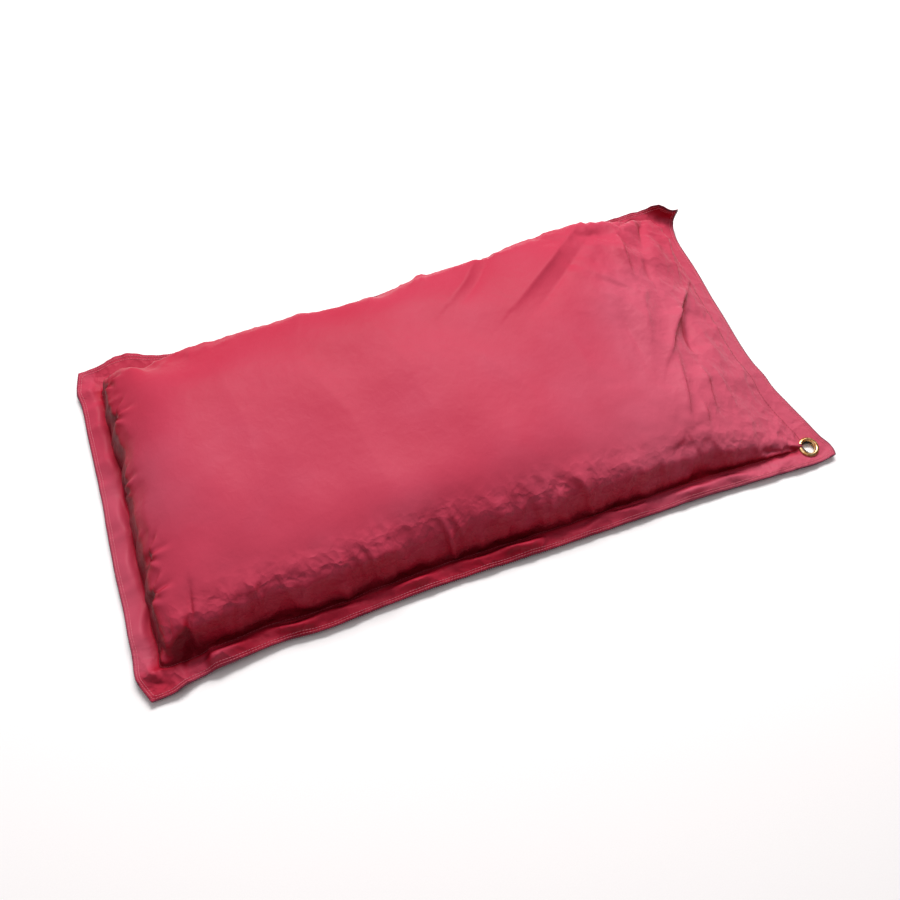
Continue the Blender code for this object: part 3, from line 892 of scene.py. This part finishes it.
places_xy = top_places[:, :, :2].reshape(-1, 2)
nearest = int(np.argmin(np.hypot(places_xy[:, 0] - GROMMET.x, places_xy[:, 1] - GROMMET.y)))
row, column = divmod(nearest, top_places.shape[1])
bore_s = (column / CELLS[0] - 1) * HALF_LENGTH
bore_t = (row / CELLS[1] - 1) * HALF_WIDTH
webbing, tree = new_material("black_polyester_webbing")
place = add_node(tree, "TexCoord")
sized = add_node(tree, "Mapping", Vector=place.outputs["Object"], Scale=(1000.0, 1000.0, 1000.0))
ribs = add_node(tree, "TexWave", {"bands_direction": "DIAGONAL"}, Vector=sized.outputs[0],
                Scale=0.25, Distortion=0.3)
tone = add_node(tree, "ValToRGB", Fac=ribs.outputs["Fac"])
tone.color_ramp.elements[0].color = linear("#141214")
tone.color_ramp.elements[1].color = linear("#2b272a")
raised = add_node(tree, "Bump", Strength=0.5, Distance=0.0003, Height=ribs.outputs["Fac"])
finish_material(tree, add_node(
    tree, "BsdfPrincipled", Base_Color=tone.outputs[0], Roughness=0.7, Normal=raised.outputs[0],
))
work = bmesh.new()
PATCH_HALF, PATCH_HOLE = 0.0125, 0.0082
bmesh.ops.create_grid(work, x_segments=24, y_segments=24, size=PATCH_HALF)
bmesh.ops.translate(work, verts=work.verts, vec=(bore_s, bore_t, 0))
bmesh.ops.delete(work, context="VERTS", geom=[
    v for v in work.verts if math.hypot(v.co.x - bore_s, v.co.y - bore_t) < PATCH_HOLE])
spots = np.array([v.co[:2] for v in work.verts])
for v, spot in zip(work.verts, at_cut(top_places, spots[:, 0], spots[:, 1])):
    v.co = (spot[0], spot[1], spot[2] - 0.0007)
patch_mesh = bpy.data.meshes.new("corner_webbing")
work.to_mesh(patch_mesh)
work.free()
patch = add_piece("corner_webbing", patch_mesh, webbing)
thicken(patch, "webbing_thickness", 0.0003, 0)
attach(patch, "root")
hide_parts("corner_patch")


# ---- Stitching: spun polyester lockstitch -------------------------------------------------------
# Every row is a lockstitch of about nine stitches to the inch: a needle thread on top, a bobbin
# thread below, each stitch a short raised bead between two needle holes.

STITCH, THREAD = 0.0028, 0.00055


def sewing_thread(name, code, light_code):
    """A twisted polyester thread of that colour."""
    made, tree = new_material(name)
    place = add_node(tree, "TexCoord")
    twist = add_node(tree, "TexWave", {"bands_direction": "DIAGONAL"},
                     Vector=place.outputs["Object"], Scale=900.0, Distortion=1.0)
    tone = add_node(tree, "ValToRGB", Fac=twist.outputs["Fac"])
    tone.color_ramp.elements[0].color = linear(code)
    tone.color_ramp.elements[1].color = linear(light_code)
    raised = add_node(tree, "Bump", Strength=0.4, Distance=0.0001, Height=twist.outputs["Fac"])
    finish_material(tree, add_node(
        tree, "BsdfPrincipled", Base_Color=tone.outputs[0], Roughness=0.5,
        Normal=raised.outputs[0], Sheen_Weight=0.3, Sheen_Roughness=0.4,
    ))
    return made


hem_thread = sewing_thread("rose_polyester_thread", "#a83048", "#e88494")
seam_thread = sewing_thread("crimson_polyester_thread", "#7c1020", "#a82a40")
bead = bmesh.new()
bmesh.ops.create_uvsphere(bead, u_segments=6, v_segments=5, radius=1.0)
bead_mesh = bpy.data.meshes.new("bead")
bead.to_mesh(bead_mesh)
bead.free()


def sew_row(name, node, table, inset, corner, thread, above):
    """A row of stitches along a loop, just above or just below a cover."""
    ends = loop_on_cut(inset, corner, STITCH)
    marks = at_cut(table, ends[:, 0], ends[:, 1])
    work = bmesh.new()
    lift = (0.3 * THREAD if above else -FABRIC - 0.3 * THREAD)
    for a, b in zip(marks, np.roll(marks, -1, axis=0)):
        way = Vector(b - a)
        turn = way.to_track_quat("Z", "Y").to_matrix().to_4x4()
        middle = Vector((a + b) / 2) + Vector((0, 0, lift))
        size = Matrix.Diagonal((THREAD / 2, THREAD / 2, way.length * 0.46, 1))
        one = bead_mesh.copy()
        one.transform(Matrix.Translation(middle) @ turn @ size)
        work.from_mesh(one)
        bpy.data.meshes.remove(one)
    mesh = bpy.data.meshes.new(name)
    work.to_mesh(mesh)
    work.free()
    shade_smooth(mesh)
    row = add_piece(name, mesh, thread)
    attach(row, "root")
    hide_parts(node)


# Each row: distance in from the raw edge, corner radius, thread.
ROWS = [
    ("chamber_seam", FLANGE, SEAM_CORNER, seam_thread),
    ("hem_inner", 0.0048, 0.0025, hem_thread),
    ("hem_outer", 0.0024, 0.0015, hem_thread),
]
for row, *how in ROWS:
    sew_row(row + "_needle_stitches", row + "_needle_thread", top_places, *how, above=True)
    sew_row(row + "_bobbin_stitches", row + "_bobbin_thread", bottom_places, *how, above=False)


# ---- Edge: overlock in dark plum thread ---------------------------------------------------------
# A fine dark thread is wound over the raw edge of both plies by an overlocking machine, about one
# turn every two millimetres, so that the cloth doesn't fray.

plum_thread = sewing_thread("plum_polyester_thread", "#24122e", "#5b3553")
TURN_PITCH, TURN_STEPS = 0.0021, 8
turns_at = loop_on_cut(0.0004, 0.001, TURN_PITCH / TURN_STEPS)
upper = at_cut(top_places, turns_at[:, 0], turns_at[:, 1])
lower = at_cut(bottom_places, turns_at[:, 0], turns_at[:, 1])
within = loop_on_cut(0.0014, 0.001, TURN_PITCH / TURN_STEPS)
inner = at_cut(top_places, *[np.interp(np.linspace(0, 1, len(turns_at), endpoint=False),
               np.linspace(0, 1, len(within), endpoint=False), within[:, k]) for k in (0, 1)])
outward = upper - inner
outward[:, 2] = 0
outward /= np.linalg.norm(outward, axis=1, keepdims=True)
angle = np.arange(len(turns_at)) * 2 * math.pi / TURN_STEPS
core = (upper + lower) / 2 - [0, 0, FABRIC / 2]
winding = core + outward * (np.cos(angle) * 0.0009)[:, None]
winding[:, 2] += np.sin(angle) * 0.0012
curve = bpy.data.curves.new("edge_overlock", "CURVE")
curve.dimensions = "3D"
curve.bevel_depth = 0.00022
curve.bevel_resolution = 0
spline = curve.splines.new("POLY")
spline.points.add(len(winding) - 1)
spline.points.foreach_set("co", np.column_stack((winding, np.ones(len(winding)))).ravel())
spline.use_cyclic_u = True
wound = bpy.data.objects.new("wound", curve)
bpy.context.scene.collection.objects.link(wound)
edge_mesh = bpy.data.meshes.new_from_object(
    wound.evaluated_get(bpy.context.evaluated_depsgraph_get()))
bpy.data.objects.remove(wound)
edge_mesh.name = "edge_overlock"
shade_smooth(edge_mesh)
overlock = add_piece("edge_overlock", edge_mesh)
overlock.data.materials.clear()
overlock.data.materials.append(plum_thread)
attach(overlock, "root")
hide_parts("edge_overlock_thread")


# ---- Grommet: spun brass eyelet and washer ------------------------------------------------------
# A pressed brass eyelet is pushed down through both plies and the webbing, and its barrel is rolled
# over a flat brass washer below. Brass is warm yellow metal, with fine lathe rings and light wear.

brass, tree = new_material("pressed_brass")
place = add_node(tree, "TexCoord")
centred = add_node(tree, "Mapping", Vector=place.outputs["Object"],
                   Location=(-GROMMET.x, -GROMMET.y, 0.0))
rings = add_node(tree, "TexWave", {"wave_type": "RINGS", "rings_direction": "Z"},
                 Vector=centred.outputs[0], Scale=700.0, Distortion=0.6, Detail=2.0)
wear = add_node(tree, "TexNoise", Vector=place.outputs["Object"], Scale=260.0, Detail=4.0)
tone = add_node(tree, "ValToRGB", Fac=wear.outputs[0])
tone.color_ramp.elements[0].position = 0.35
tone.color_ramp.elements[0].color = linear("#d99c5c")
tone.color_ramp.elements[1].position = 0.65
tone.color_ramp.elements[1].color = linear("#ffd9a0")
dull = add_node(tree, "MapRange", Value=wear.outputs[0], To_Min=0.22, To_Max=0.38)
turned = add_node(tree, "Bump", Strength=0.15, Distance=0.0001, Height=rings.outputs["Fac"])
finish_material(tree, add_node(
    tree, "BsdfPrincipled", Base_Color=tone.outputs[0], Metallic=1.0, Roughness=dull.outputs[0],
    Normal=turned.outputs[0],
))


def spin_ring(name, outline, node):
    """A closed outline of radius and height in millimetres, spun round the grommet's axis."""
    work = bmesh.new()
    points = [work.verts.new((GROMMET.x + r / 1000, GROMMET.y, h / 1000)) for r, h in outline]
    edges = [work.edges.new((a, b)) for a, b in zip(points, points[1:] + points[:1])]
    bmesh.ops.spin(work, geom=points + edges, cent=(GROMMET.x, GROMMET.y, 0), axis=(0, 0, 1),
                   angle=2 * math.pi, steps=96, use_merge=True, use_duplicate=False)
    bmesh.ops.remove_doubles(work, verts=work.verts, dist=1e-6)
    bmesh.ops.recalc_face_normals(work, faces=work.faces)
    mesh = bpy.data.meshes.new(name)
    work.to_mesh(mesh)
    work.free()
    shade_smooth(mesh)
    ring = add_piece(name, mesh, brass)
    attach(ring, "root")
    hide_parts(node)


eyelet_low, eyelet_high = (v * 1000 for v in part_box("grommet_eyelet"))
rim = (eyelet_high.x - eyelet_low.x) / 2
base, crest = eyelet_low.z, eyelet_high.z
spin_ring("brass_eyelet", [
    (7.0, base + 0.5), (7.0, crest - 1.3), (7.15, crest - 0.6), (7.6, crest - 0.15), (8.3, crest),
    (9.2, crest - 0.05), (10.1, crest - 0.4), (rim - 0.15, crest - 1.1), (rim, crest - 1.7),
    (rim - 0.1, crest - 1.85), (rim - 0.5, crest - 1.6), (9.9, crest - 0.95), (9.1, crest - 0.6),
    (8.3, crest - 0.6), (7.8, crest - 1.0), (7.6, crest - 1.7), (7.6, base + 0.9),
    (7.9, base + 0.65), (8.6, base + 0.6), (8.6, base + 0.15), (8.0, base), (7.4, base + 0.1),
], "grommet_eyelet")
washer_low, washer_high = (v * 1000 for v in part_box("grommet_washer"))
wide = (washer_high.x - washer_low.x) / 2
spin_ring("brass_washer", [
    (7.9, washer_low.z + 0.1), (8.1, washer_low.z), (wide - 0.2, washer_low.z),
    (wide, washer_low.z + 0.2), (wide, washer_high.z - 0.2), (wide - 0.2, washer_high.z),
    (8.1, washer_high.z), (7.9, washer_high.z - 0.1),
], "grommet_washer")
